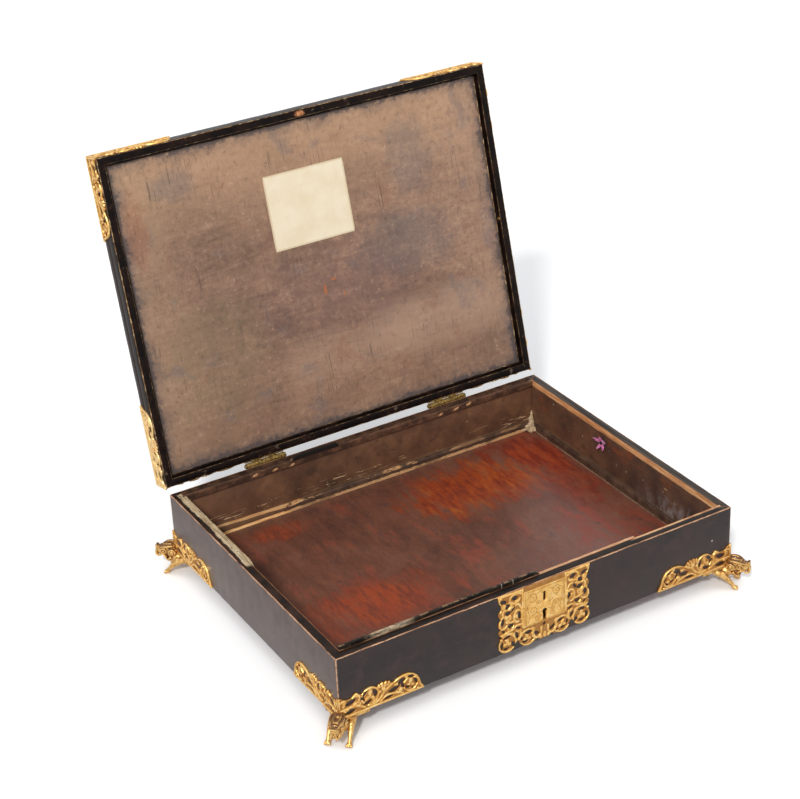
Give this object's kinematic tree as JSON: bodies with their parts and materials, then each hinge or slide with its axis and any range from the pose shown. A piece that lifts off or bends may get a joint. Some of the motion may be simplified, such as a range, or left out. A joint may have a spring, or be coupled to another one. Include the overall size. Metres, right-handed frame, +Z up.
{
  "type": "lacquer document box",
  "caption": "Shallow lacquered wooden document box with a hinged lid, openwork gilt corner mounts, a lock plate and cast beast feet, shown open.",
  "frame": {"origin": "the middle of the bounding box of the open box, on the surface that the paws stand on", "axes": "+X runs along the front from the left to the right as the user faces the box, +Y to the back where the lid is hinged, +Z up"},
  "size_m": [0.4536, 0.4466, 0.3993],
  "materials": {
    "black_lacquer": "worn black-brown lacquer, satin",
    "red_lacquer": "worn red lacquer, satin",
    "bare_wood": "raw broken wood, matt",
    "worn_lining": "faded brown lacquer, rubbed",
    "gilt_brass": "worn gilding on cast brass",
    "dull_brass": "dull unpolished brass",
    "steel": "dark tarnished steel",
    "silk": "frayed silk",
    "paper": "aged rag paper, matt"
  },
  "bodies": {
    "case": {"floor_board": "red_lacquer", "front_wall": "black_lacquer", "back_wall": "black_lacquer", "left_wall": "black_lacquer", "right_wall": "black_lacquer", "front_bead": "black_lacquer", "back_bead": "black_lacquer", "left_bead": "black_lacquer", "right_bead": "black_lacquer", "front_lip": "black_lacquer", "left_lip": "bare_wood", "back_lip": "black_lacquer", "case_mount_fl": "gilt_brass", "case_mount_fr": "gilt_brass", "case_mount_bl": "gilt_brass", "case_mount_br": "gilt_brass", "foot_fl": "gilt_brass", "foot_fr": "gilt_brass", "foot_bl": "gilt_brass", "foot_br": "gilt_brass", "foot_screws": "steel", "lock_plate": "gilt_brass", "lock_case": "dull_brass", "lock_cap": "dull_brass", "key_post": "dull_brass", "bolt_spring": "steel", "case_leaf_left": "gilt_brass", "case_leaf_right": "gilt_brass", "hinge_pin_left": "gilt_brass", "hinge_pin_right": "gilt_brass", "case_hinge_nails": "gilt_brass", "case_mount_nails": "gilt_brass", "lock_plate_nails": "gilt_brass", "ribbon_scrap": "silk", "ribbon_tack": "steel"},
    "lid": {"lid_board": "black_lacquer", "lid_lining": "worn_lining", "lid_front_rail": "black_lacquer", "lid_back_rail": "black_lacquer", "lid_left_rail": "black_lacquer", "lid_right_rail": "black_lacquer", "lid_front_bead": "black_lacquer", "lid_back_bead": "black_lacquer", "lid_left_bead": "black_lacquer", "lid_right_bead": "black_lacquer", "lid_mount_fl": "gilt_brass", "lid_mount_fr": "gilt_brass", "lid_mount_bl": "gilt_brass", "lid_mount_br": "gilt_brass", "lid_leaf_left": "gilt_brass", "lid_leaf_right": "gilt_brass", "lid_hinge_nails": "gilt_brass", "lid_mount_nails": "gilt_brass", "paper_label": "paper", "lid_tack": "steel"},
    "bolt": {"lock_bolt": "dull_brass"}
  },
  "joints": [
    {"name": "lid_hinge", "type": "hinge", "parent": "case", "child": "lid", "pos_m": [0, 0.11886, 0.0834], "axis": [1, 0, 0], "range_deg": [0, 104.5]},
    {"name": "lock_bolt_slide", "type": "slide", "parent": "case", "child": "bolt", "axis": [1, 0, 0], "range_m": [0, 0.006]}
  ]
}
